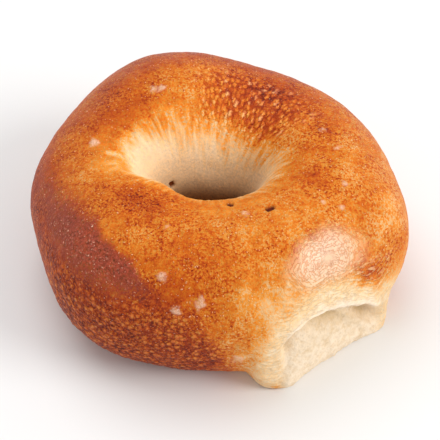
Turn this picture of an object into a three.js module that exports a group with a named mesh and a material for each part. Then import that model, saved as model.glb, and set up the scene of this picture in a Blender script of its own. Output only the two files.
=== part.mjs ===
// A plain bagel with the patch where it was pulled from its neighbour.
// Millimetres, +Z up. It rests on its flat base, and the origin is under its middle.
// Angles run round the ring in degrees: 0 is +X, 90 is +Y.
import * as THREE from 'three';

// ---- driving dimensions ----------------------------------------------------------

const RING_RADIUS = 30;        // middle of the ring to the crest of the dough
const OUTER_RADIUS = 55.5;     // middle of the ring to the waist, before the swellings
const CREST_HEIGHT = 48.5;     // before the swellings
const WAIST_HEIGHT = 24;       // the outer side is widest here
const THROAT_HEIGHT = 19;      // the hole is narrowest here
const THROAT = { halfX: 12.5, halfY: 4.6, x: -3, y: 0.3 };

// The section is four quarter curves. 2 is an ellipse's fullness, more is squarer.
const FULLNESS = { outerTop: 2.15, innerTop: 2.1, outerLow: 2.2, innerLow: 2.2 };

// The dough sagged on the tray: its round section would reach this far under the base.
const BASE_SINK = 3.2;
const BASE_EDGE = 1.6;         // half the height over which the base turns up

// Swellings and hollows: where, how wide, and what they add.
// out: to the outer radius, up: to the crest, full: to the inner wall's fullness.
const SWELLINGS = [
  { at: 114, spread: 18, out: 4.2, up: 3.3 },
  { at: 152, spread: 14, out: -1 },
  { at: 62, spread: 30, out: -3.8, up: -2.2 },
  { at: 10, spread: 18, out: -1.8 },
  { at: -17, spread: 14, out: 2.6 },
  { at: -95, spread: 22, out: -5.2 },
  { at: -135, spread: 20, out: 1.8 },
  { at: 195, spread: 12, out: -1.8 },
  { at: 172, spread: 12, out: 1.5 },
  { at: 180, spread: 15, up: -3, full: -0.7 },
  { at: 216, spread: 14, up: -0.5, full: 0.5 },
  { at: 207, spread: 7, out: -0.8 },
];

// The torn patch: an upright face across the outer side, from the base to its lip.
const TEAR = {
  at: -49,                     // the way it faces
  distance: 50.5,              // from the middle of the ring to the face
  half: 19.5,                  // half its length
  blend: 5,                    // roundness where the ring's outer side meets the face
  fullness: 7,                 // of the dough under the lip, which stands nearly square
  fullnessRuns: [12, 7],       // lengths over which the dough turns round again
  lipTop: 26.5,
  lipAt: -8,                   // the lip is highest here, along the face
  lipFalls: [0.045, 0.022],    // and falls with the square of the distance from there
  lipLow: 12,
  lipRun: 19,                  // length over which the lip rises back to the waist
  recess: 2.2,                 // depth of the crumb under the lip
  bulge: 0.3,                  // how far the crumb stands proud again at its foot
  recessRun: 3.5,
};

// The pulled corners at the two ends of the tear, which flare out at the base.
const CORNERS = [
  { at: -66.5, spread: 3.5, out: 1.8 },
  { at: -27.5, spread: 5, out: 2.2 },
];
const CORNER_HEIGHT = 13;

// The facets: steps round the ring, closer together near the tear, and round the section.
const RING_STEPS = 96;
const SECTION_STEPS = 44;
const CROWDING = 0.3;

// ---- small helpers ---------------------------------------------------------------

const DEG = Math.PI / 180;

function turn(angle) {
  return ((((angle + 180) % 360) + 360) % 360) - 180;
}

function bell(angle, at, spread) {
  return Math.exp(-0.5 * (turn(angle - at) / spread) ** 2);
}

function ease(from, to, x) {
  const t = Math.min(Math.max((x - from) / (to - from), 0), 1);
  return t * t * (3 - 2 * t);
}

function softMin(a, b, blend) {
  const share = Math.min(Math.max(0.5 + 0.5 * (a - b) / blend, 0), 1);
  return a + (b - a) * share - blend * share * (1 - share);
}

// ---- the ring, the tear and the corners ------------------------------------------

function ringAt(angle) {
  const ring = { outer: OUTER_RADIUS, crest: CREST_HEIGHT, innerTop: FULLNESS.innerTop };
  for (const { at, spread, out = 0, up = 0, full = 0 } of SWELLINGS) {
    const share = bell(angle, at, spread);
    ring.outer += out * share;
    ring.crest += up * share;
    ring.innerTop += full * share;
  }
  return ring;
}

function tearAt(angle) {
  const swing = Math.min(Math.max(turn(angle - TEAR.at), -60), 60) * DEG;
  const along = TEAR.distance * Math.tan(swing);
  const off = Math.abs(along) - TEAR.half;
  const lipFall = TEAR.lipFalls[along < TEAR.lipAt ? 0 : 1];
  const fullnessRun = TEAR.fullnessRuns[along < 0 ? 0 : 1];
  return {
    reach: TEAR.distance / Math.cos(swing),
    lip: Math.max(TEAR.lipLow, TEAR.lipTop - lipFall * (along - TEAR.lipAt) ** 2),
    lipShare: 1 - ease(-4, TEAR.lipRun - 4, off),
    squareShare: 1 - ease(-1, fullnessRun - 1, off),
    faceShare: 1 - ease(0.5 - TEAR.recessRun, 0.5, off),
  };
}

function cornerFlare(angle, height) {
  const low = Math.max(1 - height / CORNER_HEIGHT, 0) ** 2;
  let flare = 0;
  for (const { at, spread, out } of CORNERS) {
    flare += out * bell(angle, at, spread) * low;
  }
  return flare;
}

function onBase(height) {
  if (height < -BASE_EDGE) return 0;
  if (height > BASE_EDGE) return height;
  return (height + BASE_EDGE) ** 2 / (4 * BASE_EDGE);
}

// ---- one point of the crust ------------------------------------------------------

// A quarter of a section: how far out and how far up its curve is, from 0 to 1.
function quarter(turned, fullness) {
  const across = Math.abs(Math.cos(turned));
  const up = Math.abs(Math.sin(turned));
  const size = (across ** fullness + up ** fullness) ** (-1 / fullness);
  return { across: across * size, up: up * size };
}

// angle runs round the ring, and turned round the section: 0 faces out, 90 up, 180 in.
function crustPoint(angle, turned) {
  const ring = ringAt(angle);
  const tear = tearAt(angle);
  const outside = Math.cos(turned * DEG) >= 0;
  const upper = Math.sin(turned * DEG) >= 0;
  const aim = new THREE.Vector2(Math.cos(angle * DEG), Math.sin(angle * DEG));
  const crest = aim.clone().multiplyScalar(RING_RADIUS);

  const outerLow = FULLNESS.outerLow + (TEAR.fullness - FULLNESS.outerLow) * tear.squareShare;
  const outerFull = upper ? FULLNESS.outerTop : outerLow;
  const innerFull = upper ? ring.innerTop : FULLNESS.innerLow;
  const { across, up } = quarter(turned * DEG, outside ? outerFull : innerFull);

  const waist = WAIST_HEIGHT + (tear.lip - WAIST_HEIGHT) * tear.lipShare;
  const widest = outside ? waist : THROAT_HEIGHT;
  const height = upper
    ? widest + (ring.crest - widest) * up
    : onBase(widest - (widest + BASE_SINK) * up);

  const side = new THREE.Vector2();
  if (outside) {
    let outer = softMin(ring.outer, tear.reach, TEAR.blend);
    if (!upper) {
      const below = tear.lip - height;
      const torn = tear.faceShare * ease(0, 3, below);
      const recess = TEAR.recess - (TEAR.recess + TEAR.bulge) * ease(3, 16, below);
      outer += (cornerFlare(angle, height) - recess * torn) * across;
    }
    side.copy(aim).multiplyScalar(outer);
  } else {
    side.set(THROAT.x + THROAT.halfX * aim.x, THROAT.y + THROAT.halfY * aim.y);
  }
  const place = crest.lerp(side, across);
  return [place.x, place.y, height];
}

// ---- the solid -------------------------------------------------------------------

function ringAngle(step) {
  const even = (step / RING_STEPS) * 360;
  return TEAR.at + even - (CROWDING * Math.sin(even * DEG)) / DEG;
}

function bagelGeometry() {
  const points = [];
  const faces = [];
  const id = (i, j) => (i % RING_STEPS) * SECTION_STEPS + (j % SECTION_STEPS);
  for (let i = 0; i < RING_STEPS; i++) {
    for (let j = 0; j < SECTION_STEPS; j++) {
      points.push(...crustPoint(ringAngle(i), (j / SECTION_STEPS) * 360));
      faces.push(id(i, j), id(i + 1, j), id(i + 1, j + 1));
      faces.push(id(i, j), id(i + 1, j + 1), id(i, j + 1));
    }
  }
  const geometry = new THREE.BufferGeometry();
  geometry.setAttribute('position', new THREE.Float32BufferAttribute(points, 3));
  geometry.setIndex(faces);
  geometry.computeBoundingBox();
  const middle = geometry.boundingBox.getCenter(new THREE.Vector3());
  geometry.translate(-middle.x, -middle.y, 0);
  geometry.computeVertexNormals();
  return geometry;
}

function crustMaterial() {
  return new THREE.MeshStandardMaterial({ color: 0xd08742, roughness: 0.5, metalness: 0 });
}

const bagel = new THREE.Mesh(bagelGeometry(), crustMaterial());
bagel.name = 'bagel';

const group = new THREE.Group();
group.add(bagel);

export default group;
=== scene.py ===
"""A plain bagel with the torn patch where it was pulled from its neighbour.

Run as a script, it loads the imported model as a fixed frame, builds the crust over it and
sets a small studio round it. The shape code works in millimetres and degrees, and the
finished shape is put into the frame, which is in metres. A ring angle is measured round the
bagel, from +X towards +Y. A section angle is measured round the cut dough: 0 at the outer
side, 90 at the crest, 180 at the narrowest place of the hole and 270 at the base.
"""

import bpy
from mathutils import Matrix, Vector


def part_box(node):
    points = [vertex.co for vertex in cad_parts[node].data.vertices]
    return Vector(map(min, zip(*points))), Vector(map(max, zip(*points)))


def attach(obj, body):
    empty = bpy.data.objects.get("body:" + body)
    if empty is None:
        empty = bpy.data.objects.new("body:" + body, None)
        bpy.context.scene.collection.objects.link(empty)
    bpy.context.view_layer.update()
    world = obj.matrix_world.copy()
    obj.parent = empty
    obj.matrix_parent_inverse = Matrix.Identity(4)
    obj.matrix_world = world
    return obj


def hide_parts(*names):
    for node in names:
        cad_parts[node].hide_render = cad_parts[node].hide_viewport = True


bl_info = {
    "name": "Plain bagel",
    "version": (1, 0, 0),
    "blender": (4, 5, 0),
    "location": "3D View > Sidebar > Bagel",
    "description": "A plain bagel with a torn patch, and a small studio to show it in",
    "category": "Object",
}

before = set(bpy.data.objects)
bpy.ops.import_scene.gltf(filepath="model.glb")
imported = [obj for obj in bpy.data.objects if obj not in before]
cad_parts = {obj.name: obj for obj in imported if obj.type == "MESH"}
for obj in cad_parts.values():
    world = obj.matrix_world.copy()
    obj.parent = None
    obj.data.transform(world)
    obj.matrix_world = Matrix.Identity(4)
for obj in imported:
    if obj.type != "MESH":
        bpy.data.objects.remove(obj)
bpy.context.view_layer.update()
BAGEL_LOW, BAGEL_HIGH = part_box("bagel")

import math

import bpy
import numpy as np
from bpy.props import FloatProperty, FloatVectorProperty, PointerProperty
from mathutils import Vector, noise

MM = 0.001
# Allows for rounding where an exact 0 is meant.
TINY = 1e-9
BASE_MIDDLE = Vector((
    (BAGEL_LOW.x + BAGEL_HIGH.x) / 2.0, (BAGEL_LOW.y + BAGEL_HIGH.y) / 2.0, BAGEL_LOW.z,
))


# ---- small helpers ---------------------------------------------------------------

def turn(angle):
    """An angle in degrees, brought between -180 and 180."""
    return (angle + 180.0) % 360.0 - 180.0


def hump(value, at, spread):
    """A smooth hump of height 1 at a value."""
    return np.exp(-0.5 * ((value - at) / spread) ** 2)


def bell(angle, at, spread):
    """A smooth hump of height 1 at a ring angle."""
    return hump(turn(angle - at), 0.0, spread)


def ease(start, end, value):
    """0 before start, 1 after end and a smooth step between."""
    share = np.clip((value - start) / (end - start), 0.0, 1.0)
    return share * share * (3.0 - 2.0 * share)


def between(starts, ends, value):
    """1 between the run that it starts over and the run that it ends over, and 0 outside."""
    return ease(*starts, value) * (1.0 - ease(*ends, value))


def soft_min(first, second, blend):
    """The smaller of two lengths, with a round corner where one takes over from the other."""
    share = np.clip(0.5 + 0.5 * (first - second) / blend, 0.0, 1.0)
    return first + (second - first) * share - blend * share * (1.0 - share)


def seen(red, green, blue):
    """A colour as the eye sees it, from 0 to 255, turned into the linear values of a socket."""
    parts = (channel / 255.0 for channel in (red, green, blue))
    return tuple(c / 12.92 if c <= 0.04045 else ((c + 0.055) / 1.055) ** 2.4 for c in parts)


def at_each(points, size, shift, value_at):
    """A noise's value at each point. The shift picks another part of the same noise."""
    places = (points.reshape(-1, 3) / size + shift).tolist()
    return np.array([value_at(place) for place in places]).reshape(points.shape[:-1])


def wander(points, size, octaves=1, shift=0.0):
    """Smooth noise of about -1 to 1, with features of about the given size.

    Each octave has half the size and half the strength of the one before it.
    """
    return at_each(points, size, shift, lambda place: noise.fractal(place, 1.0, 2.0, octaves))


def grain_distance(points, size, shift=0.0):
    """How far each point is from the middle of the nearest grain, in grains."""
    return at_each(points, size, shift, lambda place: noise.voronoi(place)[0][0])


# ---- the dough's shape -----------------------------------------------------------

# Swellings and hollows round the ring: where and how wide in degrees, what they add in mm
# to the outer radius and the crest, and what they add to the inner wall's fullness.
SWELLINGS = (
    (114, 18, 4.2, 3.3, 0.0),
    (152, 14, -1.0, 0.0, 0.0),
    (62, 30, -3.8, -2.2, 0.0),
    (10, 18, -1.8, 0.0, 0.0),
    (-17, 14, 2.6, 0.0, 0.0),
    (-95, 22, -5.2, 0.0, 0.0),
    (-135, 20, 1.8, 0.0, 0.0),
    (195, 12, -1.8, 0.0, 0.0),
    (172, 12, 1.5, 0.0, 0.0),
    (180, 15, 0.0, -3.0, -0.7),
    (216, 14, 0.0, -0.5, 0.5),
    (207, 7, -0.8, 0.0, 0.0),
)
RING_RADIUS = 30.0
OUTER_RADIUS = 55.5
CREST_HEIGHT = 48.5
WAIST_HEIGHT = 24.0

# The throat is the narrowest place of the hole, an oval a little off the middle.
THROAT_HEIGHT = 19.0
THROAT_HALF = (12.5, 4.6)
THROAT_MIDDLE = (-3.0, 0.3)

# A fullness of 2 makes a quarter of the section round, and more makes it squarer.
OUTER_TOP_FULLNESS = 2.15
INNER_TOP_FULLNESS = 2.1
LOW_FULLNESS = 2.2

# How far the section would go on below the table, and how round the edge of the base is.
BASE_SINK = 3.2
BASE_EDGE = 1.6

# The torn patch: an upright face across the outer side, from the base to its lip. The face
# is square at its foot, and that dies out in a run beyond each end.
PATCH_REACH = 60.0
TEAR_AT = -49.0
TEAR_DISTANCE = 50.5
TEAR_HALF = 19.5
TEAR_BLEND = 5.0
TEAR_FULLNESS = 7.0
TEAR_FULLNESS_RUNS = (12.0, 7.0)
SQUARE_LEAD = 1.0

# The lip is highest at one place along the face and falls away from it on both sides. Over a
# run past the face's ends, the widest part of the ring goes back to the height of its waist.
LIP_TOP = 26.5
LIP_AT = -8.0
LIP_FALLS = (0.045, 0.022)
LIP_LOW = 12.0
LIP_RUN = (-4.0, 15.0)

# The face is recessed under its lip, and bulges a little further down.
RECESS = 2.2
RECESS_RUN = (-3.0, 0.5)
RECESS_BELOW = 3.0
BULGE = 0.3
BULGE_BELOW = 16.0

# The pulled corners at the two ends: ring angle, spread and how far they stand out in mm.
CORNERS = ((-66.5, 3.5, 1.8), (-27.5, 5, 2.2))
CORNER_HEIGHT = 13.0

RING_STEPS = 448
SECTION_STEPS = 220
# How much closer together the ring's steps are at the torn patch.
CROWDING = 0.25
# How much of the section's steps each quarter gets: outer top, inner top, inner low, outer low.
QUARTER_SHARES = (0.30, 0.25, 0.15, 0.30)


class Dough:
    """The smooth dough on a grid: angles round the ring by angles round the section."""

    def __init__(self):
        even = np.arange(RING_STEPS) / RING_STEPS * 360.0
        crowded = even - CROWDING * np.degrees(np.sin(np.radians(even)))
        ends = np.concatenate(([0.0], np.cumsum(QUARTER_SHARES)))
        section = np.interp(np.arange(SECTION_STEPS) / SECTION_STEPS, ends, np.arange(5) * 90.0)
        self.angle, self.section = np.meshgrid(TEAR_AT + crowded, section, indexing="ij")
        turned = np.radians(self.section)
        self.outside = np.cos(turned) >= -TINY
        self.upper = np.sin(turned) >= 0.0
        self.set_tear()
        self.points = self.place()
        self.normals = self.outward()

    def set_tear(self):
        """Each point's place along the torn face, and how far it is past the face's ends."""
        swing = np.radians(np.clip(turn(self.angle - TEAR_AT), -PATCH_REACH, PATCH_REACH))
        self.along = TEAR_DISTANCE * np.tan(swing)
        self.past = np.abs(self.along) - TEAR_HALF
        self.reach = TEAR_DISTANCE / np.cos(swing)
        self.face_share = 1.0 - ease(*RECESS_RUN, self.past)
        fall = np.where(self.along < LIP_AT, *LIP_FALLS)
        self.lip_height = np.maximum(LIP_LOW, LIP_TOP - fall * (self.along - LIP_AT) ** 2)

    def swollen(self):
        """The outer radius, the crest's height and the inner wall's fullness, swellings and all."""
        outer = np.full(self.angle.shape, OUTER_RADIUS)
        crest = np.full(self.angle.shape, CREST_HEIGHT)
        inner_full = np.full(self.angle.shape, INNER_TOP_FULLNESS)
        for at, spread, out, up, full in SWELLINGS:
            share = bell(self.angle, at, spread)
            outer += out * share
            crest += up * share
            inner_full += full * share
        return outer, crest, inner_full

    def rounded(self, inner_full):
        """How far across and how far up each point is in its quarter of the section, 0 to 1."""
        run = np.where(self.along < 0.0, *TEAR_FULLNESS_RUNS)
        square_share = 1.0 - ease(0.0, 1.0, (self.past + SQUARE_LEAD) / run)
        low_full = LOW_FULLNESS + (TEAR_FULLNESS - LOW_FULLNESS) * square_share
        outer_full = np.where(self.upper, OUTER_TOP_FULLNESS, low_full)
        inner_full = np.where(self.upper, inner_full, LOW_FULLNESS)
        fullness = np.where(self.outside, outer_full, inner_full)
        across = np.abs(np.cos(np.radians(self.section)))
        up = np.abs(np.sin(np.radians(self.section)))
        size = (across ** fullness + up ** fullness) ** (-1.0 / fullness)
        return across * size, up * size

    def heights(self, crest, up):
        """The height of each point over the flat base, whose edge is rounded."""
        lip_share = 1.0 - ease(*LIP_RUN, self.past)
        waist = WAIST_HEIGHT + (self.lip_height - WAIST_HEIGHT) * lip_share
        widest = np.where(self.outside, waist, THROAT_HEIGHT)
        low = widest - (widest + BASE_SINK) * up
        edge = (low + BASE_EDGE) ** 2 / (4.0 * BASE_EDGE)
        low = np.where(low < -BASE_EDGE, 0.0, np.where(low > BASE_EDGE, low, edge))
        return np.where(self.upper, widest + (crest - widest) * up, low)

    def outer_side(self, outer, height, across):
        """How far the outer side is from the middle, with the torn face and its corners."""
        flare = np.zeros(self.angle.shape)
        for at, spread, out in CORNERS:
            flare += out * bell(self.angle, at, spread)
        flare *= np.maximum(1.0 - height / CORNER_HEIGHT, 0.0) ** 2
        below = self.lip_height - height
        recess = RECESS - (RECESS + BULGE) * ease(RECESS_BELOW, BULGE_BELOW, below)
        recess *= self.face_share * ease(0.0, RECESS_BELOW, below)
        side = soft_min(outer, self.reach, TEAR_BLEND)
        return side + np.where(self.upper, 0.0, (flare - recess) * across)

    def place(self):
        """Every point of the dough, in mm."""
        outer, crest, inner_full = self.swollen()
        across, up = self.rounded(inner_full)
        height = self.heights(crest, up)
        side = self.outer_side(outer, height, across)
        aims = (np.cos(np.radians(self.angle)), np.sin(np.radians(self.angle)))
        flat = []
        for aim, middle, half in zip(aims, THROAT_MIDDLE, THROAT_HALF):
            wall = np.where(self.outside, side * aim, middle + half * aim)
            flat.append(RING_RADIUS * aim + (wall - RING_RADIUS * aim) * across)
        return np.stack((*flat, height), axis=-1)

    def outward(self):
        """The direction straight out of the dough at each point."""
        round_ring = np.roll(self.points, -1, axis=0) - np.roll(self.points, 1, axis=0)
        round_section = np.roll(self.points, -1, axis=1) - np.roll(self.points, 1, axis=1)
        normals = np.cross(round_ring, round_section)
        return normals / np.maximum(np.linalg.norm(normals, axis=-1, keepdims=True), TINY)


# ---- the crust: where it is browned, blistered, streaked or torn ------------------

# Where the crust baked darker or lighter: the middle and spread round the ring, the
# middle and spread round the section, and how much browning it adds.
BROWNED = (
    (-137, 13, 97, 14, 0.20),
    (66, 20, 102, 13, 0.10),
    (45, 10, 106, 10, 0.10),
    (86, 8, 92, 12, 0.05),
    (109, 9, 111, 12, -0.05),
    (145, 15, 84, 12, 0.14),
    (-22, 6, 89, 7, 0.16),
    (-18, 6, 52, 8, 0.06),
    (20, 9, 86, 9, 0.08),
    (-33, 7, 19, 6, 0.15),
    (-32, 16, 64, 14, -0.06),
    (-102, 8, 12, 14, -0.10),
    (-103, 12, 42, 10, 0.12),
    (-93, 9, 24, 9, 0.10),
    (-145, 8, 84, 9, 0.10),
    (28, 12, 79, 9, 0.10),
    (64, 16, 85, 9, 0.19),
    (-4, 14, 40, 16, -0.10),
    (-76, 9, 36, 18, -0.20),
    (-25, 9, 38, 10, -0.14),
    (3, 11, 71, 10, -0.09),
    (54, 10, 72, 8, 0.11),
    (-83, 12, 64, 12, 0.08),
    (-173, 12, 91, 11, -0.17),
    (-153, 7, 68, 8, 0.07),
    (-163, 6, 49, 8, -0.08),
)

# How far the edges of things wander: in degrees round the ring and round the section, in mm
# for the torn crumb, the shaded skin and the swelling, and in radii for spots.
RING_WANDER = 3.0
SECTION_WANDER = 4.0
TORN_WANDER = 0.5
SHADED_WANDER = 2.2
SWELLING_WANDER = 1.2
SPOT_WANDER = 0.8

# How far each part is baked, from 0 for raw dough to 1 for the darkest crust. "More" and
# "less" are added to what is there, and the others take its place.
EVEN_BAKE = 0.48
BROAD_MOTTLING = 0.07
FINE_MOTTLING = 0.08
DARK_SIDE_MORE = 0.25
FAR_FLANK_MORE = 0.16
CORNER_TIP_MORE = 0.20
HIGHLIGHT_PALER = 0.14
FUNNEL_RIM_BAKE = 0.30
FUNNEL_BAKE = 0.07
SHADED_BAKE = 0.06

# The edge of the dark side: section angles at angles round the ring. Ring angles past the wrap
# have 360 taken off, so that they run on.
DARK_EDGE_RING = (-215, -190, -165, -145, -130, -115, -106, -96, -84)
DARK_EDGE_SECTION = (20, 34, 50, 62, 57, 41, 32, 14, -25)
DARK_WRAP = 145.0
DARK_STARTS = (-225.0, -195.0)
DARK_STOPS = (-94.0, -80.0)

# The edge is crisp in the middle and softer towards both ends, in degrees of section.
DARK_EDGE_SOFT = 3.0
DARK_FIRST_SOFT = 15.0
DARK_FIRST_RUN = (-160.0, -143.0)
DARK_LAST_SOFT = 16.0
DARK_LAST_RUN = (-116.0, -104.0)

# The far flank: its place round the ring, and the part of the section that baked darker.
FAR_FLANK_AT = (100.0, 55.0)
FAR_FLANK_FROM = (0.0, 40.0)
FAR_FLANK_TO = (55.0, 85.0)

# A painted reflection lies high on the dark side, and weakly on the far flank: section, then ring.
REFLECTION_FROM = (20.0, 42.0)
REFLECTION_RING_RUN = (-104.0, -122.0)
FAR_REFLECTION = 0.5
FAR_REFLECTION_AT = (48.0, 14.0)

# Coarse grains lie low on the dark side, and fewer of them all round the low flank.
GRAINS_FROM = (-64.0, -40.0)
GRAINS_TO = (12.0, 34.0)
GRAINS_RING_RUN = (-170.0, -142.0)
LOW_GRAINS = 0.45
LOW_GRAINS_AT = (-28.0, 14.0)

# Where the pale funnel starts on the section, and how much sooner or later it starts round
# the ring: where, how wide and by how many degrees.
FUNNEL_START = 120.0
FUNNEL_SHIFTS = ((174, 20, -28.0), (-90, 50, 10.0), (84, 26, 5.0), (40, 18, 9.0))
FUNNEL_RIM_RUN = (-14.0, 4.0)
FUNNEL_RUN = (-2.0, 24.0)
# Past this section angle the skin is under the throat, and counts as well inside the funnel.
UNDER_THROAT = 200.0
WELL_INSIDE = 60.0

# Painted shade deep in the hole: the skin darkens in two steps, a share each, and ends
# under the throat. It is a little darker on one side: share, ring angle and spread, section
# angle and spread.
DEEP_STEPS = ((0.31, 130.0, 153.0), (0.69, 153.0, 172.0))
DEEP_END = (225.0, 265.0)
DEEP_SIDE = (0.28, 20.0, 34.0, 140.0, 12.0)

# The streaks at the funnel's rim, which are weaker on one side, and how far they shift it.
STREAK_SPREAD = 15.0
STREAK_WEAKER = (0.6, 25.0, 35.0)
STREAK_SHIFT = 9.0

# Where the ridges behind the hole start and stop, round the ring and round the section.
RIDGE_RING_RUNS = ((18.0, 42.0), (88.0, 112.0))
RIDGE_SECTION_RUNS = ((68.0, 88.0), (114.0, 132.0))

# Pale blisters: ring angle, section angle and radius in mm.
PALE_BLISTERS = (
    (-116, 83, 1.5), (-72, 100, 1.7), (-19, 72, 1.5), (-29, 66, 1.1), (18, 84, 1.5),
    (-110, 48, 1.6), (-96, 32, 2.2), (-103, 25, 1.8), (170, 75, 2.0), (128, 88, 1.8),
    (125, 91, 1.6), (-33, 76, 1.0), (3, 79, 1.3), (-84, 342, 2.4),
)

# Small dark pits, in the same way.
PITS = ((142, 158, 1.1), (-78, 117, 1.5), (-57, 98, 1.4))

# The glossy swelling above the torn patch, with fine wrinkles round it: ring and section
# angle, how many mm a degree of each is there, and how much longer it is round the ring.
# The runs are distances from its middle in mm, between which each thing starts or dies out.
SWELLING_AT = (-48.0, 41.0)
SWELLING_SCALE = (0.75, 0.45)
SWELLING_STRETCH = 1.35
# A real coat gives the swelling its shine, and the same share also mixes in a painted highlight.
GLOSS = 0.85
GLOSS_RUN = (4.0, 12.0)
WRINKLE_START = (0.5, 2.4)
WRINKLE_RUN = (8.0, 15.0)
# How far apart the rings of wrinkles are in mm, and how much they break up on their way round.
WRINKLE_GAP = 0.8
WRINKLE_BREAKS = 4.0

# The raised veins beside the torn patch run nearly along the ring: ring angle and spread,
# section angle and spread, the slant as a cosine and a sine, and a vein's length and width.
VEINS_AT = (-33.0, 5.5, 21.0, 6.5)
VEIN_SLANT = (0.99, 0.14)
VEIN_SIZE = (2.6, 0.9)

# Streaks run down into the hole: the ring's radius and the degrees of section that make one
# step of their noise. Ridges are drawn out along the section too, in mm for each degree.
STREAK_RADIUS = 14.0
STREAK_LENGTH = 16.0
RIDGES_AT = 65.0
RIDGE_SQUEEZE = 0.26

# The torn crumb's edge, its rolled lip and its stretched rim, in mm below the lip's line.
TORN_EDGE = (-0.9, 0.7)
LIP_ROLL = (0.8, 1.7)
RIM_LINE = (-0.1, 1.3)

# The skin round the face that the neighbour had shaded: the middle and the half length of the
# part of the face that it is measured from in mm, how much less a mm counts along the face
# than above it, and how far away in mm it starts and ends to fade.
SHADED_FROM = (-1.0, 17.0)
SHADED_SQUEEZE = 0.85
SHADED_RUN = (3.0, 19.0)

# Hollows of the torn crumb: where along the face and how wide, how far below the lip and
# how high, how much that sinks for each mm along, and how deep as a share.
# The share also sets how much painted shade darkens each hollow's crumb.
HOLLOWS = (
    (-2.5, 8.0, 5.6, 2.4, 0.28, 1.0),
    (-17.5, 2.5, 4.5, 2.5, 0.0, 0.7),
    (14.5, 3.0, 4.6, 2.2, 0.0, 1.0),
    (-4.0, 8.0, 11.5, 3.0, 0.0, 0.22),
)

# Rolls of crumb between the hollows, in the same way, with their height in mm.
ROLLS = (
    (7.0, 4.0, 4.1, 1.5, 0.48, 1.1),
    (13.0, 4.0, 9.5, 1.3, 0.0, 0.7),
    (-2.0, 9.0, 11.0, 1.8, 0.0, 0.5),
)

# How much higher or lower than the smooth dough things are, in mm.
BROAD_WAVES = 0.45
SMALL_WAVES = 0.14
GRAIN_RISE = 0.40
STREAK_RISE = 0.16
BLISTER_RISE = 0.30
PIT_DEPTH = 0.8
CREASE_DEPTH = 0.8
LIP_RISE = 0.8
HOLLOW_DEPTH = 1.9
STRAND_RISE = 0.40
CRUMB_RISE = 0.25

# The pulled strands of crumb: their length along the face and their width, in mm.
STRAND_SIZE = (4.0, 1.6)

# What the mesh carries at each point for its material: amounts, and places for patterns.
PAINTED = (
    "browning", "torn", "rim", "hollow", "grain", "streak", "ridge", "wrinkle", "vein", "blister",
    "pit", "dusk", "deep", "gloss",
)
PLACES = ("streak_place", "ridge_place", "wrinkle_place", "vein_place")


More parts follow.
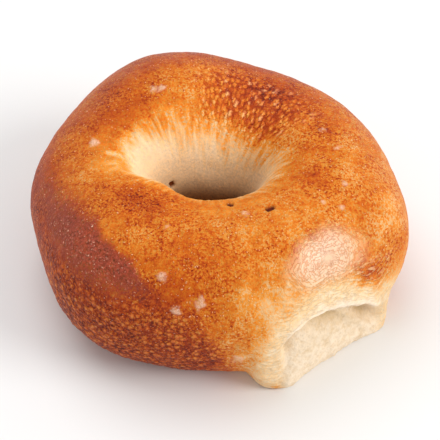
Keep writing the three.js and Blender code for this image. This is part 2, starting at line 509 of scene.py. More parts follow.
class Crust:
    """What varies over the dough: browning, relief and the torn crumb, point by point."""

    def __init__(self, dough):
        self.dough = dough
        self.points = dough.points
        self.height = dough.points[..., 2]
        self.below = dough.lip_height - self.height
        # The low outer flank counts on below 0, so that the section's angle has no jump there.
        self.flat_section = np.where(dough.section > 270.0, dough.section - 360.0, dough.section)
        # These two wander a little, so that nothing painted by them has a straight edge.
        ring_wander = RING_WANDER * wander(self.points, 9.0, octaves=2, shift=3.0)
        section_wander = SECTION_WANDER * wander(self.points, 9.0, octaves=2, shift=11.0)
        self.angle = turn(dough.angle) + ring_wander
        self.section = self.flat_section + section_wander
        self.set_long_places()
        self.streaks = wander(self.streak_place, 1.0, octaves=2, shift=5.0)
        self.set_torn()
        self.set_spots()
        self.set_swelling()
        self.set_veins()
        self.set_dark_side()
        self.set_funnel()
        self.set_browning()
        self.set_relief()

    def set_long_places(self):
        """Places in which noise makes streaks and ridges that run down into the hole."""
        turned = np.radians(self.dough.angle)
        self.streak_place = np.stack((
            STREAK_RADIUS * np.cos(turned),
            STREAK_RADIUS * np.sin(turned),
            self.flat_section / STREAK_LENGTH,
        ), axis=-1)
        round_ring = RING_RADIUS * np.radians(turn(self.dough.angle - RIDGES_AT))
        round_section = RIDGE_SQUEEZE * self.flat_section
        self.ridge_place = np.stack((round_ring, round_section, np.zeros(turned.shape)), axis=-1)

    def lumps(self, table):
        """The sum of a table's lumps over the torn face."""
        along = self.dough.along
        total = np.zeros(along.shape)
        for at, spread, depth, depth_spread, sink, amount in table:
            total += amount * hump(along, at, spread) * hump(
                self.below - sink * along, depth, depth_spread,
            )
        return total

    def set_torn(self):
        """The torn crumb, its lip, rim and hollows with painted shade, and the pale skin round it.
        """
        dough = self.dough
        front = ease(-0.2, 0.2, np.cos(np.radians(dough.section)))
        face = dough.face_share
        ragged = TORN_WANDER * wander(self.points, 2.5, octaves=2, shift=19.0)
        self.torn = face * ease(*TORN_EDGE, self.below + ragged) * front
        self.lip = face * hump(self.below, *LIP_ROLL) * front
        self.rim = face * hump(self.below + ragged, *RIM_LINE) * front
        self.hollow = np.clip(self.lumps(HOLLOWS), 0.0, 1.0) * self.torn

        middle, half = SHADED_FROM
        side = np.maximum(np.abs(dough.along - middle) - half, 0.0)
        above = np.maximum(self.height - dough.lip_height, 0.0)
        away = np.hypot(SHADED_SQUEEZE * side, above)
        away = away + SHADED_WANDER * wander(self.points, 6.0, octaves=3, shift=23.0)
        near_tear = np.abs(turn(dough.angle - TEAR_AT)) < PATCH_REACH
        self.shaded = np.where(near_tear, 1.0 - ease(*SHADED_RUN, away), 0.0) * front

    def away_from(self, angle, section):
        """The distance in mm of each point from a place on the dough."""
        off_ring = np.abs(turn(self.dough.angle[:, 0] - angle))
        off_section = np.abs(turn(self.dough.section[0] - section))
        place = self.points[off_ring.argmin(), off_section.argmin()]
        return np.linalg.norm(self.points - place, axis=-1)

    def spots(self, table, ragged, start, end):
        """Ragged spots, 1 in the middle and 0 outside. Start and end are shares of a radius."""
        share = np.zeros(self.height.shape)
        for angle, section, radius in table:
            away = self.away_from(angle, section) / radius + ragged
            share = np.maximum(share, 1.0 - ease(start, end, away))
        return share

    def set_spots(self):
        """The pale blisters and the dark pits."""
        ragged = SPOT_WANDER * wander(self.points, 2.0, octaves=3, shift=31.0)
        self.blister = self.spots(PALE_BLISTERS, ragged, 0.0, 1.3)
        self.pit = self.spots(PITS, ragged, 0.3, 1.0)

    def set_swelling(self):
        """The glossy swelling and its painted highlight, with fine wrinkles in rings round it."""
        off_ring = turn(self.dough.angle - SWELLING_AT[0])
        off_section = self.flat_section - SWELLING_AT[1]
        ring_mm = off_ring * SWELLING_SCALE[0]
        section_mm = off_section * SWELLING_SCALE[1]
        away = np.hypot(ring_mm / SWELLING_STRETCH, section_mm)
        away = away + SWELLING_WANDER * wander(self.points, 7.0, octaves=2, shift=51.0)
        breaks = WRINKLE_BREAKS / np.maximum(np.hypot(ring_mm, section_mm), TINY)
        self.wrinkle_place = np.stack(
            (away / WRINKLE_GAP, breaks * ring_mm, breaks * section_mm), axis=-1,
        )
        nearby = np.abs(off_ring) < PATCH_REACH
        skin = np.maximum((1.0 - ease(*WRINKLE_RUN, away)) * nearby, self.shaded)
        self.wrinkle = skin * (1.0 - self.torn) * ease(*WRINKLE_START, away)
        self.gloss = GLOSS * (1.0 - ease(*GLOSS_RUN, away)) * nearby
        self.from_swelling = (ring_mm, section_mm)

    def set_veins(self):
        """The patch of raised veins, which is neither shaded nor glossy."""
        at, spread, section_at, section_spread = VEINS_AT
        self.vein = bell(self.angle, at, spread) * hump(self.section, section_at, section_spread)
        ring_mm, section_mm = self.from_swelling
        slant_cos, slant_sin = VEIN_SLANT
        run = slant_cos * ring_mm + slant_sin * section_mm
        across = slant_cos * section_mm - slant_sin * ring_mm
        self.vein_place = np.stack(
            (run / VEIN_SIZE[0], across / VEIN_SIZE[1], np.zeros(run.shape)), axis=-1,
        )
        baked_lip = bell(self.angle, -66.0, 5.0) * hump(self.section, 26.0, 8.0)
        self.shaded = self.shaded * (1.0 - 0.7 * self.vein) * (1.0 - 0.3 * baked_lip)
        self.gloss = self.gloss * (1.0 - self.vein) * (1.0 - self.torn)

    def set_dark_side(self):
        """The dark side, with a painted reflection high on it and coarse grains low on it."""
        section = self.section
        wrapped = np.where(self.angle > DARK_WRAP, self.angle - 360.0, self.angle)
        edge = np.interp(wrapped, DARK_EDGE_RING, DARK_EDGE_SECTION)
        soft = DARK_EDGE_SOFT + DARK_FIRST_SOFT * (1.0 - ease(*DARK_FIRST_RUN, wrapped))
        soft += DARK_LAST_SOFT * ease(*DARK_LAST_RUN, wrapped)
        self.dark = 1.0 - ease(-1.0, 1.0, (section - edge) / soft)
        self.dark *= between(DARK_STARTS, DARK_STOPS, wrapped)
        self.far = bell(self.angle, *FAR_FLANK_AT)
        dusk = self.dark * ease(*REFLECTION_FROM, section) * ease(*REFLECTION_RING_RUN, wrapped)
        self.dusk = np.maximum(dusk, FAR_REFLECTION * self.far * hump(section, *FAR_REFLECTION_AT))
        grain = self.dark * between(GRAINS_FROM, GRAINS_TO, section)
        grain *= ease(*GRAINS_RING_RUN, wrapped)
        low_flank = LOW_GRAINS * hump(section, *LOW_GRAINS_AT) * (1.0 - self.shaded)
        self.grain = np.maximum(grain, low_flank)

    def set_funnel(self):
        """The funnel into the hole: streaks at its rim, ridges, and painted shade deep inside."""
        angle = self.angle
        section = self.section
        start = FUNNEL_START + sum(by * bell(angle, at, wide) for at, wide, by in FUNNEL_SHIFTS)
        inward = section - start + STREAK_SHIFT * self.streaks
        self.inward = np.where(self.flat_section < UNDER_THROAT, inward, WELL_INSIDE)
        weaker, at, wide = STREAK_WEAKER
        self.streak = hump(self.inward, 0.0, STREAK_SPREAD) * (1.0 - weaker * bell(angle, at, wide))
        self.ridge = between(*RIDGE_RING_RUNS, angle) * between(*RIDGE_SECTION_RUNS, section)
        self.deep = sum(by * ease(first, last, self.flat_section) for by, first, last in DEEP_STEPS)
        self.deep *= 1.0 - ease(*DEEP_END, self.flat_section)
        more, at, wide, section_at, section_wide = DEEP_SIDE
        self.deep += more * bell(angle, at, wide) * hump(section, section_at, section_wide)

    def set_browning(self):
        """How far the crust is baked at each point, from 0 to 1."""
        section = self.section
        browning = EVEN_BAKE + BROAD_MOTTLING * wander(self.points, 13.0, octaves=2, shift=41.0)
        browning += FINE_MOTTLING * wander(self.points, 4.5, octaves=3, shift=43.0)
        for at, spread, section_at, section_spread, more in BROWNED:
            place = bell(self.angle, at, spread) * hump(section, section_at, section_spread)
            browning += more * place
        browning += DARK_SIDE_MORE * self.dark
        browning += FAR_FLANK_MORE * self.far * between(FAR_FLANK_FROM, FAR_FLANK_TO, section)

        # The funnel stays pale, because its skin was stretched and shaded.
        browning += (FUNNEL_RIM_BAKE - browning) * ease(*FUNNEL_RIM_RUN, self.inward)
        browning += (FUNNEL_BAKE - browning) * ease(*FUNNEL_RUN, self.inward)
        # Painted highlight: the crust is made paler under the glossy swelling.
        browning -= HIGHLIGHT_PALER * self.gloss
        browning += (SHADED_BAKE - browning) * self.shaded
        tip = (1.0 - ease(1.0, 5.0, self.height)) * hump(self.dough.along, -20.5, 2.0)
        browning += CORNER_TIP_MORE * tip * self.shaded
        self.browning = np.clip(browning, 0.0, 1.0)

    def torn_relief(self):
        """The crumb's relief in mm: a rolled lip, hollows and rolls, and coarse pulled strands."""
        along = self.dough.along
        strands = np.stack((
            along / STRAND_SIZE[0], self.below / STRAND_SIZE[1], np.zeros(along.shape),
        ), axis=-1)
        rough = STRAND_RISE * wander(strands, 1.0, octaves=3, shift=3.0)
        rough += CRUMB_RISE * wander(self.points, 1.6, octaves=2, shift=9.0)
        relief = self.torn * (rough + self.lumps(ROLLS))
        return relief + LIP_RISE * self.lip - HOLLOW_DEPTH * self.hollow

    def set_relief(self):
        """How far the surface stands out of the smooth dough, in mm."""
        angle = self.dough.angle
        relief = BROAD_WAVES * wander(self.points, 17.0, octaves=2)
        relief += SMALL_WAVES * wander(self.points, 4.0, octaves=2, shift=7.0)
        grains = grain_distance(self.points, 1.6, 2.0)
        relief += self.grain * GRAIN_RISE * (0.6 - np.minimum(grains, 0.8))
        relief += STREAK_RISE * self.streak * self.streaks
        relief += BLISTER_RISE * self.blister - PIT_DEPTH * self.pit
        # A slanting crease in the low flank, beside the torn patch.
        crease = hump(self.height - 19.6 + 0.45 * (angle + 87.0), 0.0, 0.9)
        on_flank = np.abs(self.flat_section) < 90.0
        relief -= CREASE_DEPTH * np.where(on_flank, bell(angle, -83.0, 6.0) * crease, 0.0)
        self.relief = relief + self.torn_relief()


# ---- shader arithmetic -----------------------------------------------------------

# A Mix node has sockets of the same name for each kind of data. These are the ones for colours.
MIX_SHARE = 0
MIX_FIRST = 6
MIX_SECOND = 7
MIX_RESULT = 2


class Amount:
    """A number in a shader. Arithmetic on it adds Math nodes."""

    def __init__(self, shader, socket):
        self.shader = shader
        self.socket = socket

    def math(self, operation, first, second):
        """One Math node, with the given operation."""
        made = self.shader.node("ShaderNodeMath", {"operation": operation}, {0: first, 1: second})
        return Amount(self.shader, made.outputs[0])

    def most(self, other):
        """The larger of the two."""
        return self.math("MAXIMUM", self, other)

    def __add__(self, other):
        return self.math("ADD", self, other)

    __radd__ = __add__

    def __sub__(self, other):
        return self.math("SUBTRACT", self, other)

    def __rsub__(self, other):
        return self.math("SUBTRACT", other, self)

    def __mul__(self, other):
        return self.math("MULTIPLY", self, other)

    __rmul__ = __mul__

    def eased(self, start, end):
        """0 before start, 1 after end and a smooth step between."""
        return self.shader.amount(
            "ShaderNodeMapRange",
            {"interpolation_type": "SMOOTHSTEP"},
            {"Value": self, "From Min": start, "From Max": end},
        )

    def near_zero(self, width):
        """1 where the number is 0, and 0 where its square is past the width."""
        return 1.0 - (self * self).eased(0.0, width)


class Shader:
    """A material and the nodes it is made of."""

    def __init__(self, name):
        self.material = bpy.data.materials.new(name)
        self.material.use_nodes = True
        self.tree = self.material.node_tree
        self.tree.nodes.clear()

    def node(self, kind, settings=None, values=None):
        """One node: its settings first, then the values or links of its sockets."""
        made = self.tree.nodes.new(kind)
        count = len(self.tree.nodes)
        made.location = (40 * count, -30 * (count % 12))
        for name, value in (settings or {}).items():
            if name == "stops":
                self.set_stops(made.color_ramp, value)
            else:
                setattr(made, name, value)
        for name, value in (values or {}).items():
            socket = made.inputs[name]
            if isinstance(value, Amount):
                value = value.socket
            if isinstance(value, bpy.types.NodeSocket):
                self.tree.links.new(value, socket)
            else:
                socket.default_value = value
        return made

    def set_stops(self, ramp, stops):
        """Give a ramp its stops, each a place from 0 to 1 and a colour."""
        while len(ramp.elements) < len(stops):
            ramp.elements.new(0.5)
        for element, (place, colour) in zip(ramp.elements, stops):
            element.position = place
            element.color = (*colour, 1.0)

    def amount(self, kind, settings=None, values=None, output=0):
        """A node's output, as a number to work with."""
        return Amount(self, self.node(kind, settings, values).outputs[output])

    def vector(self, operation, values):
        """The result of a Vector Math node."""
        made = self.node("ShaderNodeVectorMath", {"operation": operation}, values)
        return made.outputs["Vector"]

    def painted(self, name):
        """A number that the mesh carries at each of its points."""
        return self.amount("ShaderNodeAttribute", {"attribute_name": name}, output="Fac")

    def painted_place(self, name):
        """A place that the mesh carries at each of its points."""
        return self.node("ShaderNodeAttribute", {"attribute_name": name}).outputs["Vector"]

    def mix(self, share, first, second, blend="MIX"):
        """Two colours mixed."""
        made = self.node(
            "ShaderNodeMix",
            {"data_type": "RGBA", "blend_type": blend},
            {MIX_SHARE: share, MIX_FIRST: self.colour(first), MIX_SECOND: self.colour(second)},
        )
        return made.outputs[MIX_RESULT]

    def colour(self, value):
        """A link as it is, or a user's colour with the alpha that its socket wants."""
        if isinstance(value, (Amount, bpy.types.NodeSocket)):
            return value
        return (*tuple(value)[:3], 1.0)

    def surface(self, values):
        """The finished material, from the values or links of its Principled node."""
        principled = self.node("ShaderNodeBsdfPrincipled", None, values)
        self.node("ShaderNodeOutputMaterial", None, {"Surface": principled.outputs[0]})
        return self.material


# ---- what a user may change ------------------------------------------------------

def colour_setting(name, description, red, green, blue):
    """A colour that a user may change, with its default as the eye sees it."""
    return FloatVectorProperty(
        name=name, description=description, default=seen(red, green, blue),
        size=3, min=0.0, max=1.0, subtype="COLOR",
    )


def number_setting(name, description, default, low, high, **kind):
    """A size or a strength that a user may change."""
    return FloatProperty(
        name=name, description=description, default=default, min=low, max=high, **kind,
    )


class BagelCrustSettings(bpy.types.PropertyGroup):
    """The bagel's width and the colours of its crust and crumb"""

    width: number_setting(
        "Width", "Across the bagel, from side to side",
        BAGEL_HIGH.x - BAGEL_LOW.x, 0.05, 0.2, unit="LENGTH",
    )
    crust_cream: colour_setting("Cream skin", "Skin that hardly baked", 250, 226, 192)
    crust_pale: colour_setting("Pale crust", "Crust that only just took colour", 248, 208, 154)
    crust_gold: colour_setting("Gold crust", "Lightly baked crust", 238, 152, 52)
    crust_golden: colour_setting("Golden crust", "Evenly baked crust", 220, 112, 14)
    crust_brown: colour_setting("Brown crust", "Well baked crust", 188, 72, 2)
    crust_dark: colour_setting("Dark crust", "The dark side", 150, 45, 2)
    crust_darkest: colour_setting("Darkest crust", "Pits and gaps between grains", 96, 26, 6)
    # Painted reflection: the dull mauve sheen on the dark side.
    dusky_reflection_colour: colour_setting("Dusky crust", "The dull bloom on the dark side", 170, 80, 60)
    # Painted shadow: the colour that the skin deep in the hole is darkened towards.
    throat_shadow: colour_setting("Deep skin", "The skin deep in the hole", 122, 66, 16)
    crust_grain: colour_setting("Grain tops", "The tan tops of the raised grains", 210, 100, 52)
    # Painted highlight: the colour of the painted sheen and glints, also used for pale blisters.
    painted_sheen: colour_setting("Sheen", "The pink sheen on tight glossy skin", 255, 218, 188)
    crumb_pale: colour_setting("Pale crumb", "The torn crumb", 251, 231, 205)
    crumb_deep: colour_setting("Deep crumb", "The crumb in its pores", 234, 206, 168)
    # Painted shade: the colour of the crumb in its hollows.
    crumb_hollow_shade: colour_setting("Hollow crumb", "The crumb in its hollows", 190, 158, 108)
    crumb_rim: colour_setting("Crumb rim", "Stretched crumb along the lip", 255, 240, 222)


class BagelStageSettings(bpy.types.PropertyGroup):
    """The camera, the floor and the lights"""

    lens: number_setting(
        "Focal length", "The camera's lens", 165.0, 20.0, 300.0, subtype="DISTANCE_CAMERA",
    )
    camera_distance: number_setting(
        "Camera distance", "From the camera to the bagel", 0.6, 0.2, 3.0, unit="LENGTH",
    )
    camera_elevation: number_setting(
        "Camera elevation", "How far the camera looks down",
        math.radians(47.0), 0.0, 1.5, unit="ROTATION",
    )
    floor_colour: FloatVectorProperty(
        name="Floor", description="The pale floor under the bagel",
        default=(0.88, 0.88, 0.88), size=3, min=0.0, max=1.0, subtype="COLOR",
    )
    room_light: number_setting("Room light", "Soft light from all round", 0.60, 0.0, 3.0)
    window_light: number_setting(
        "Window light", "The soft lamp on the right", 34.0, 0.0, 1000.0, unit="POWER",
    )
    ceiling_light: number_setting(
        "Ceiling light", "The big soft lamp above and behind", 26.0, 0.0, 1000.0, unit="POWER",
    )


# ---- the baked crust's material --------------------------------------------------

# The sizes of the patterns in mm, or in steps of their own stretched places.
SKIN_SIZE = 0.75
MOTTLE_SIZE = 2.4
PATCH_SIZE = 9.0
PORE_SIZE = 1.4
DOT_SIZE = 0.72
COARSE_GRAIN_SIZE = 1.8
SMALL_GRAIN_SIZE = 1.0
BEND_SIZE = 0.9
STREAK_SIZE = 0.8
RIDGE_SIZE = 1.3
WRINKLE_STEP = 1.0
VEIN_STEP = 1.0
LOOP_SIZE = 2.0
CRUMB_SIZE = 1.9

# How far the noise bends the ridges round the ring and round the section.
RIDGE_BEND = (1.4, 1.0, 0.0)
# How far the flat top of a grain reaches from its middle, in grains.
GRAIN_CORE = 0.12
SPECULAR_LEVEL = 0.15
COAT_ROUGHNESS = 0.32


class CrustLook:
    """The crust's material, worked out from what its mesh carries at each point.

    Each painted amount is from about 0 to 1. The patterns come first, then how dark the skin is,
    its colour, its relief and its gloss.
    """

    def __init__(self, settings):
        self.settings = settings
        self.shader = Shader("baked_crust")
        for name in PAINTED:
            setattr(self, name, self.shader.painted(name))
        for name in PLACES:
            setattr(self, name, self.shader.painted_place(name))
        place = self.shader.node("ShaderNodeTexCoord").outputs["Object"]
        self.mm_place = self.shader.vector("SCALE", {0: place, "Scale": 1.0 / MM})
        bend = {"Vector": self.mm_place, "Scale": 1.0 / BEND_SIZE, "Detail": 1.0}
        self.bend = self.shader.node("ShaderNodeTexNoise", None, bend).outputs["Color"]
        self.bent_place = self.shader.vector("ADD", {0: self.mm_place, 1: self.bend})
        self.set_skin()
        self.set_grains()
        self.set_ridges()
        self.set_wrinkles()
        self.set_liveliness()
        self.crumbs = self.noise_of(CRUMB_SIZE, detail=5.0, roughness=0.7)

    def noise_of(self, size, detail=2.0, roughness=0.55, where=None):
        """Smooth noise from 0 to 1, with features of about the given size."""
        where = self.mm_place if where is None else where
        return self.shader.amount("ShaderNodeTexNoise", None, {
            "Vector": where, "Scale": 1.0 / size, "Detail": detail, "Roughness": roughness,
        })

    def grains_of(self, size, where, dimensions="3D", reach=0.55):
        """How deep in a grain a place is, from 0 to 1, and a number that each grain has."""
        made = self.shader.node(
            "ShaderNodeTexVoronoi", {"voronoi_dimensions": dimensions},
            {"Vector": where, "Scale": 1.0 / size},
        )
        distance = Amount(self.shader, made.outputs["Distance"])
        pick = self.shader.amount("ShaderNodeSeparateColor", None, {
            "Color": made.outputs["Color"],
        })
        return 1.0 - distance.eased(GRAIN_CORE, reach), pick

    def set_skin(self):
        """The fine skin: its grain, its mottling, open pores and little raised dots."""
        self.fine = self.noise_of(SKIN_SIZE, detail=3.0, roughness=0.72) - 0.5
        self.middling = self.noise_of(MOTTLE_SIZE, detail=4.0, roughness=0.6) - 0.5
        pores, pore_pick = self.grains_of(PORE_SIZE, self.mm_place)
        self.pores = pores.eased(0.55, 1.0) * pore_pick.eased(0.45, 0.7)
        dots, dot_pick = self.grains_of(DOT_SIZE, self.bent_place)
        self.dots = dots * dot_pick.eased(0.35, 0.95)

    def set_grains(self):
        """Coarse raised grains with small ones between them."""
        coarse, coarse_pick = self.grains_of(COARSE_GRAIN_SIZE, self.bent_place, reach=0.65)
        small, small_pick = self.grains_of(SMALL_GRAIN_SIZE, self.bent_place)
        coarse = coarse * (0.45 + coarse_pick * 0.55)
        self.coarse = coarse.most(small * (0.2 + small_pick * 0.6))
        self.grain_tops = self.grain * self.coarse
        self.small = small
        self.small_pick = small_pick

    def set_ridges(self):
        """Streaks into the hole, and short ridges on the slope behind it."""
        self.streaks = self.noise_of(STREAK_SIZE, detail=3.0, where=self.streak_place) - 0.5
        bent_ridge = self.shader.vector("MULTIPLY_ADD", {
            0: self.bend, 1: RIDGE_BEND, 2: self.ridge_place,
        })
        cells, self.ridge_pick = self.grains_of(RIDGE_SIZE, bent_ridge, "2D", reach=0.85)
        self.ridges = cells * (0.3 + self.ridge_pick * 0.7)
        self.ridge_tops = self.ridge * self.ridges
        self.domes = self.grain_tops + self.ridge_tops

    def set_wrinkles(self):
        """Ring wrinkles round the glossy swelling, looping folds, and raised veins."""
        self.rings = self.noise_of(WRINKLE_STEP, where=self.wrinkle_place) - 0.5
        self.creases = self.rings.near_zero(0.003) * self.wrinkle
        self.loops = self.noise_of(LOOP_SIZE, detail=3.0) - 0.5
        self.folds = self.loops.near_zero(0.001) * self.wrinkle
        veins = self.noise_of(VEIN_STEP, detail=1.0, where=self.vein_place)
        self.veins = veins.eased(0.50, 0.62)

    def set_liveliness(self):
        """Where the crust is browned enough to show its fine pattern, patch by patch."""
        lively = self.browning.eased(0.12, 0.45) * (1.0 - self.grain * 0.5)
        lively = lively * (1.0 - self.gloss * 0.9)
        self.lively = lively * (1.0 - self.ridge * 0.45) * (1.0 - self.streak * 0.5)
        self.patches = 0.45 + self.noise_of(PATCH_SIZE).eased(0.38, 0.62) * 0.75

    def darkness(self):
        """How dark the skin is at each place, from 0 for cream to 1 for the darkest."""
        blistered = self.lively * self.patches
        dark = self.browning + self.fine * (0.30 + blistered * 1.5)
        dark = dark + self.middling * self.lively * 0.45
        dark = dark + blistered * (0.01 - self.dots * 0.26 + self.pores * 0.12)
        dark = dark.most(self.browning * 0.66)

        # The gaps between grains and between ridges are dark, and their tops are pale.
        dark = dark + self.grain * (0.15 + self.fine * 0.5 - self.coarse * 0.52)
        dark = dark + self.streak * self.streaks * 0.5
        dark = dark + self.ridge * (0.20 - self.ridges * 0.44)
        dark = dark.most(self.grain * 0.38).most(self.ridge * 0.32)

        dark = dark + self.creases * (0.05 + self.gloss * 0.14) + self.folds * 0.06
        dark = dark + self.wrinkle * (self.rings * 0.15 + self.loops * 0.30)
        return dark + self.vein * (0.15 - self.veins * 0.30)

    def baked_colour(self):
        """The baked skin's colour, with tan tops on its grains and a painted dusky reflection."""
        settings = self.settings
        baked = self.shader.node("ShaderNodeValToRGB", {"stops": (
            (0.00, settings.crust_cream),
            (0.16, settings.crust_pale),
            (0.34, settings.crust_gold),
            (0.52, settings.crust_golden),
            (0.70, settings.crust_brown),
            (0.86, settings.crust_dark),
            (1.00, settings.crust_darkest),
        )}, {"Fac": self.darkness()}).outputs["Color"]
        baked = self.shader.mix(self.grain_tops * 0.50, baked, settings.crust_grain)
        reflection = self.dusk * (0.66 + self.middling * 0.6)
        return self.shader.mix(reflection, baked, settings.dusky_reflection_colour)

    def sheen(self):
        """How much painted sheen shows: on tight skin and veins, and glints on dots and tops."""
        sheen = self.gloss * (0.84 - self.creases * 0.40) + self.domes * 0.03
        sheen = sheen + self.vein * self.veins * 0.34
        glints = self.lively * (0.32 + self.fine * 2.2) + self.dusk * 0.12
        sheen = sheen + self.dots.eased(0.5, 1.0) * glints
        sheen = sheen + self.dusk * self.small * self.small_pick * 0.13
        return sheen + self.ridge_tops * self.ridge_pick.eased(0.80, 1.0) * 0.20

    def shade(self):
        """How much lighter or darker than its colour each place is, about 1."""
        strength = 0.60 + self.lively * 0.45 + self.dusk * 2.2 - self.torn * 0.3
        shade = 1.0 + self.fine * strength + self.domes * 0.15 - self.grain * 0.08
        shade = shade + self.dusk * (self.small * self.small_pick * 0.4 - 0.10)
        return shade + (self.deep + self.streak) * self.fine * 0.8

    def colour(self):
        """Colour of crust, sheen, blisters, pits, crumb, and painted shade in hole and hollows."""
        settings = self.settings
        mix = self.shader.mix
        # Painted highlight: the sheen and glints are mixed into the baked colour.
        colour = mix(self.sheen(), self.baked_colour(), settings.painted_sheen)
        # The pale blisters take the painted sheen's colour: partly their own pale skin, partly a
        # painted highlight.
        blister = self.blister * (1.0 + self.fine * 2.4 + self.middling * 1.6)
        colour = mix(blister.eased(0.15, 1.10) * 0.60, colour, settings.painted_sheen)
        colour = mix(self.pit.eased(0.0, 0.9), colour, settings.crust_darkest)
        crumb = mix(self.crumbs.eased(0.28, 0.62), settings.crumb_deep, settings.crumb_pale)
        # Painted shade in the crumb's hollows.
        crumb = mix(self.hollow * 0.75, crumb, settings.crumb_hollow_shade)
        colour = mix(self.torn, colour, crumb)
        colour = mix(self.rim * (0.5 + self.middling * 1.8), colour, settings.crumb_rim)
        # Painted shade deep in the hole.
        colour = mix(self.deep * 0.95, colour, settings.throat_shadow)
        return mix(1.0, colour, self.shade(), "MULTIPLY")

    def relief(self):
        """The fine relief that is too small for the mesh, in mm."""
        relief = self.fine * (0.14 + self.lively * 0.40) + self.middling * 0.16
        relief = relief + self.lively * (self.dots * 0.2 - self.pores * 0.15)
        relief = relief + self.grain_tops * 0.9 + self.streak * self.streaks * 0.28
        relief = relief + self.ridge_tops * 0.7 - self.creases * 0.14
        relief = relief + self.vein * self.veins * 0.6
        relief = relief + self.dusk * self.small * self.small_pick * 0.4
        relief = relief + self.wrinkle * self.loops * 0.5
        return relief * (1.0 - self.torn) + self.torn * self.crumbs * 0.7

    def material(self):
        """The finished material."""
        bump = self.shader.node("ShaderNodeBump", None, {
            "Strength": 1.0, "Distance": MM, "Height": self.relief(),
        })
        return self.shader.surface({
            "Base Color": self.colour(),
            "Roughness": 0.46 + self.fine * 0.3 + self.torn * 0.4 + self.deep * 0.2,
            "Normal": bump.outputs["Normal"],
            "Specular IOR Level": SPECULAR_LEVEL,
            "Coat Weight": self.gloss * (0.8 - self.creases * 0.4),
            "Coat Roughness": COAT_ROUGHNESS,
        })


# ---- the bagel -------------------------------------------------------------------

# The empty margin round each half of the bake map, as a share of the map's width.
BAKE_MARGIN = 0.004


def in_frame(dough, crust, width):
    """The dough with its relief, set to a width in metres and put on the frame's base."""
    low = dough.points.reshape(-1, 3).min(axis=0)
    high = dough.points.reshape(-1, 3).max(axis=0)
    points = dough.points + dough.normals * crust.relief[..., None]
    points[..., 2] = np.maximum(points[..., 2], 0.0)
    points[..., :2] -= (low[:2] + high[:2]) / 2.0
    points *= width / (high[0] - low[0])
    return points + np.array(BASE_MIDDLE)


def grid_faces():
    """Four corners for each face of the closed grid, which joins up both ways."""
    ring = np.arange(RING_STEPS)[:, None]
    step = np.arange(SECTION_STEPS)[None, :]
    next_ring = (ring + 1) % RING_STEPS
    next_step = (step + 1) % SECTION_STEPS
    corners = [
        ring * SECTION_STEPS + step, next_ring * SECTION_STEPS + step,
        next_ring * SECTION_STEPS + next_step, ring * SECTION_STEPS + next_step,
    ]
    return np.stack(corners, axis=-1).reshape(-1, 4)


def add_painted(mesh, name, kind, field, values):
    """Give each point of the mesh a number or a place that its material reads."""
    attribute = mesh.attributes.new(name, kind, "POINT")
    attribute.data.foreach_set(field, values.astype(np.float32).ravel())


def add_bake_map(mesh):
    """Lay the crust out flat: two halves of the ring, one above the other."""
    ring = np.arange(RING_STEPS)[:, None]
    step = np.arange(SECTION_STEPS)[None, :]
    half = RING_STEPS // 2
    layer = mesh.uv_layers.new(name="OFBake")
    u = np.empty((RING_STEPS, SECTION_STEPS, 4))
    v = np.empty((RING_STEPS, SECTION_STEPS, 4))
    across = 1.0 - 2.0 * BAKE_MARGIN
    up = 0.5 - 2.0 * BAKE_MARGIN
    for corner, (along, around) in enumerate(((0, 0), (1, 0), (1, 1), (0, 1))):
        u[..., corner] = BAKE_MARGIN + across * (ring % half + along) / half
        row = 0.5 * (ring // half) + BAKE_MARGIN
        v[..., corner] = row + up * (step + around) / SECTION_STEPS
    layer.data.foreach_set("uv", np.stack((u, v), axis=-1).astype(np.float32).ravel())


class BAGEL_OT_shape_crust(bpy.types.Operator):
    """Build the bagel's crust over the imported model"""

    bl_idname = "bagel.shape_crust"
    bl_label = "Shape the crust"

    def execute(self, context):
        settings = context.scene.bagel_crust
        dough = Dough()
        crust = Crust(dough)
        points = in_frame(dough, crust, settings.width)
        mesh = bpy.data.meshes.new("bagel_crust")
        mesh.from_pydata(points.reshape(-1, 3).tolist(), [], grid_faces().tolist())
        if mesh.validate():
            raise RuntimeError("the crust's mesh has faults")
        mesh.shade_smooth()
        for name in PAINTED:
            add_painted(mesh, name, "FLOAT", "value", getattr(crust, name))
        for name in PLACES:
            add_painted(mesh, name, "FLOAT_VECTOR", "vector", getattr(crust, name))
        add_bake_map(mesh)
        mesh.materials.append(CrustLook(settings).material())
        piece = bpy.data.objects.new("bagel_crust", mesh)
        context.scene.collection.objects.link(piece)
        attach(piece, "root")
        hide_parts("bagel")
        return {"FINISHED"}


# ---- the stage -------------------------------------------------------------------

# What the camera and the lamps are aimed at, in mm from the middle of the bagel's base.
STAGE_AIM = (0.7, -3.9, 21.0)
CAMERA_AZIMUTH = -90.0
SENSOR_WIDTH = 36.0
LAMP_DISTANCE = 2.5
FLOOR_REACH = 20.0

# The lamps: name, azimuth and elevation in degrees, width in metres, and colour.
LAMPS = (
    ("window", -19.0, 34.0, 1.45, (1.0, 0.98, 0.95)),
    ("ceiling", 125.0, 62.0, 2.2, (1.0, 1.0, 1.0)),
)


def direction(azimuth, elevation):
    """A direction, from its azimuth from +X towards +Y and its elevation, both in degrees."""
    flat = math.cos(math.radians(elevation))
    return Vector((
        flat * math.cos(math.radians(azimuth)),
        flat * math.sin(math.radians(azimuth)),
        math.sin(math.radians(elevation)),
    ))


def add_aimed(context, name, data, place, target):
    """Put a lamp or a camera at a place and turn it to its target."""
    thing = bpy.data.objects.new(name, data)
    thing.location = place
    thing.rotation_euler = (target - place).to_track_quat("-Z", "Y").to_euler()
    context.scene.collection.objects.link(thing)
    return thing


def add_lamp(context, name, place, target, size, power, colour):
    """A round soft lamp."""
    data = bpy.data.lights.new(name, "AREA")
    data.shape = "DISK"
    data.size = size
    data.energy = power
    data.color = colour
    add_aimed(context, name, data, place, target)


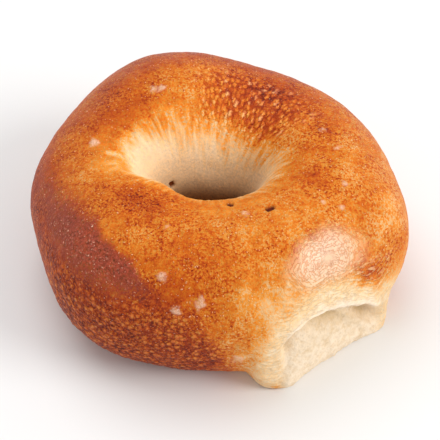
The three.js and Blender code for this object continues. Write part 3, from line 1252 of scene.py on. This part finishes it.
def add_floor(context, colour):
    """A wide plain floor at the height of the bagel's base."""
    mesh = bpy.data.meshes.new("floor")
    signs = ((-1, -1), (1, -1), (1, 1), (-1, 1))
    corners = [(x * FLOOR_REACH, y * FLOOR_REACH, 0.0) for x, y in signs]
    mesh.from_pydata(corners, [], [(0, 1, 2, 3)])
    mesh.materials.append(Shader("pale_floor").surface({
        "Base Color": (*colour, 1.0), "Roughness": 0.9,
    }))
    floor = bpy.data.objects.new("floor", mesh)
    context.scene.collection.objects.link(floor)
    floor.location.z = BAGEL_LOW.z


def set_room(scene, strength):
    """Even white light from all round, and colours shown as they are."""
    world = bpy.data.worlds.new("room")
    world.use_nodes = True
    background = world.node_tree.nodes["Background"]
    background.inputs["Color"].default_value = (1.0, 1.0, 1.0, 1.0)
    background.inputs["Strength"].default_value = strength
    scene.world = world
    scene.view_settings.view_transform = "Standard"
    scene.view_settings.look = "None"


class BAGEL_OT_set_stage(bpy.types.Operator):
    """Put a pale floor, soft lamps and a camera round the bagel"""

    bl_idname = "bagel.set_stage"
    bl_label = "Set the stage"

    def execute(self, context):
        settings = context.scene.bagel_stage
        target = BASE_MIDDLE + Vector(STAGE_AIM) * MM
        data = bpy.data.cameras.new("camera")
        data.lens = settings.lens
        data.sensor_width = SENSOR_WIDTH
        towards = direction(CAMERA_AZIMUTH, math.degrees(settings.camera_elevation))
        place = target + towards * settings.camera_distance
        context.scene.camera = add_aimed(context, "camera", data, place, target)

        add_floor(context, settings.floor_colour)
        for name, azimuth, elevation, size, colour in LAMPS:
            place = target + direction(azimuth, elevation) * LAMP_DISTANCE
            power = getattr(settings, name + "_light")
            add_lamp(context, name, place, target, size, power, colour)
        set_room(context.scene, settings.room_light)
        return {"FINISHED"}


class BAGEL_PT_maker(bpy.types.Panel):
    """The bagel's settings, and the operators that make it and its stage"""

    bl_label = "Bagel"
    bl_idname = "BAGEL_PT_maker"
    bl_space_type = "VIEW_3D"
    bl_region_type = "UI"
    bl_category = "Bagel"

    def draw(self, context):
        layout = self.layout
        for name, settings in (("Crust", "bagel_crust"), ("Stage", "bagel_stage")):
            box = layout.box()
            box.label(text=name)
            group = getattr(context.scene, settings)
            for key in type(group).__annotations__:
                box.prop(group, key)
        layout.operator(BAGEL_OT_shape_crust.bl_idname)
        layout.operator(BAGEL_OT_set_stage.bl_idname)


CLASSES = (
    BagelCrustSettings,
    BagelStageSettings,
    BAGEL_OT_shape_crust,
    BAGEL_OT_set_stage,
    BAGEL_PT_maker,
)


def register():
    for each in CLASSES:
        bpy.utils.register_class(each)
    bpy.types.Scene.bagel_crust = PointerProperty(type=BagelCrustSettings)
    bpy.types.Scene.bagel_stage = PointerProperty(type=BagelStageSettings)


def unregister():
    del bpy.types.Scene.bagel_stage
    del bpy.types.Scene.bagel_crust
    for each in reversed(CLASSES):
        bpy.utils.unregister_class(each)


def main():
    register()
    bpy.ops.bagel.set_stage()
    bpy.ops.bagel.shape_crust()


if __name__ == "__main__":
    main()
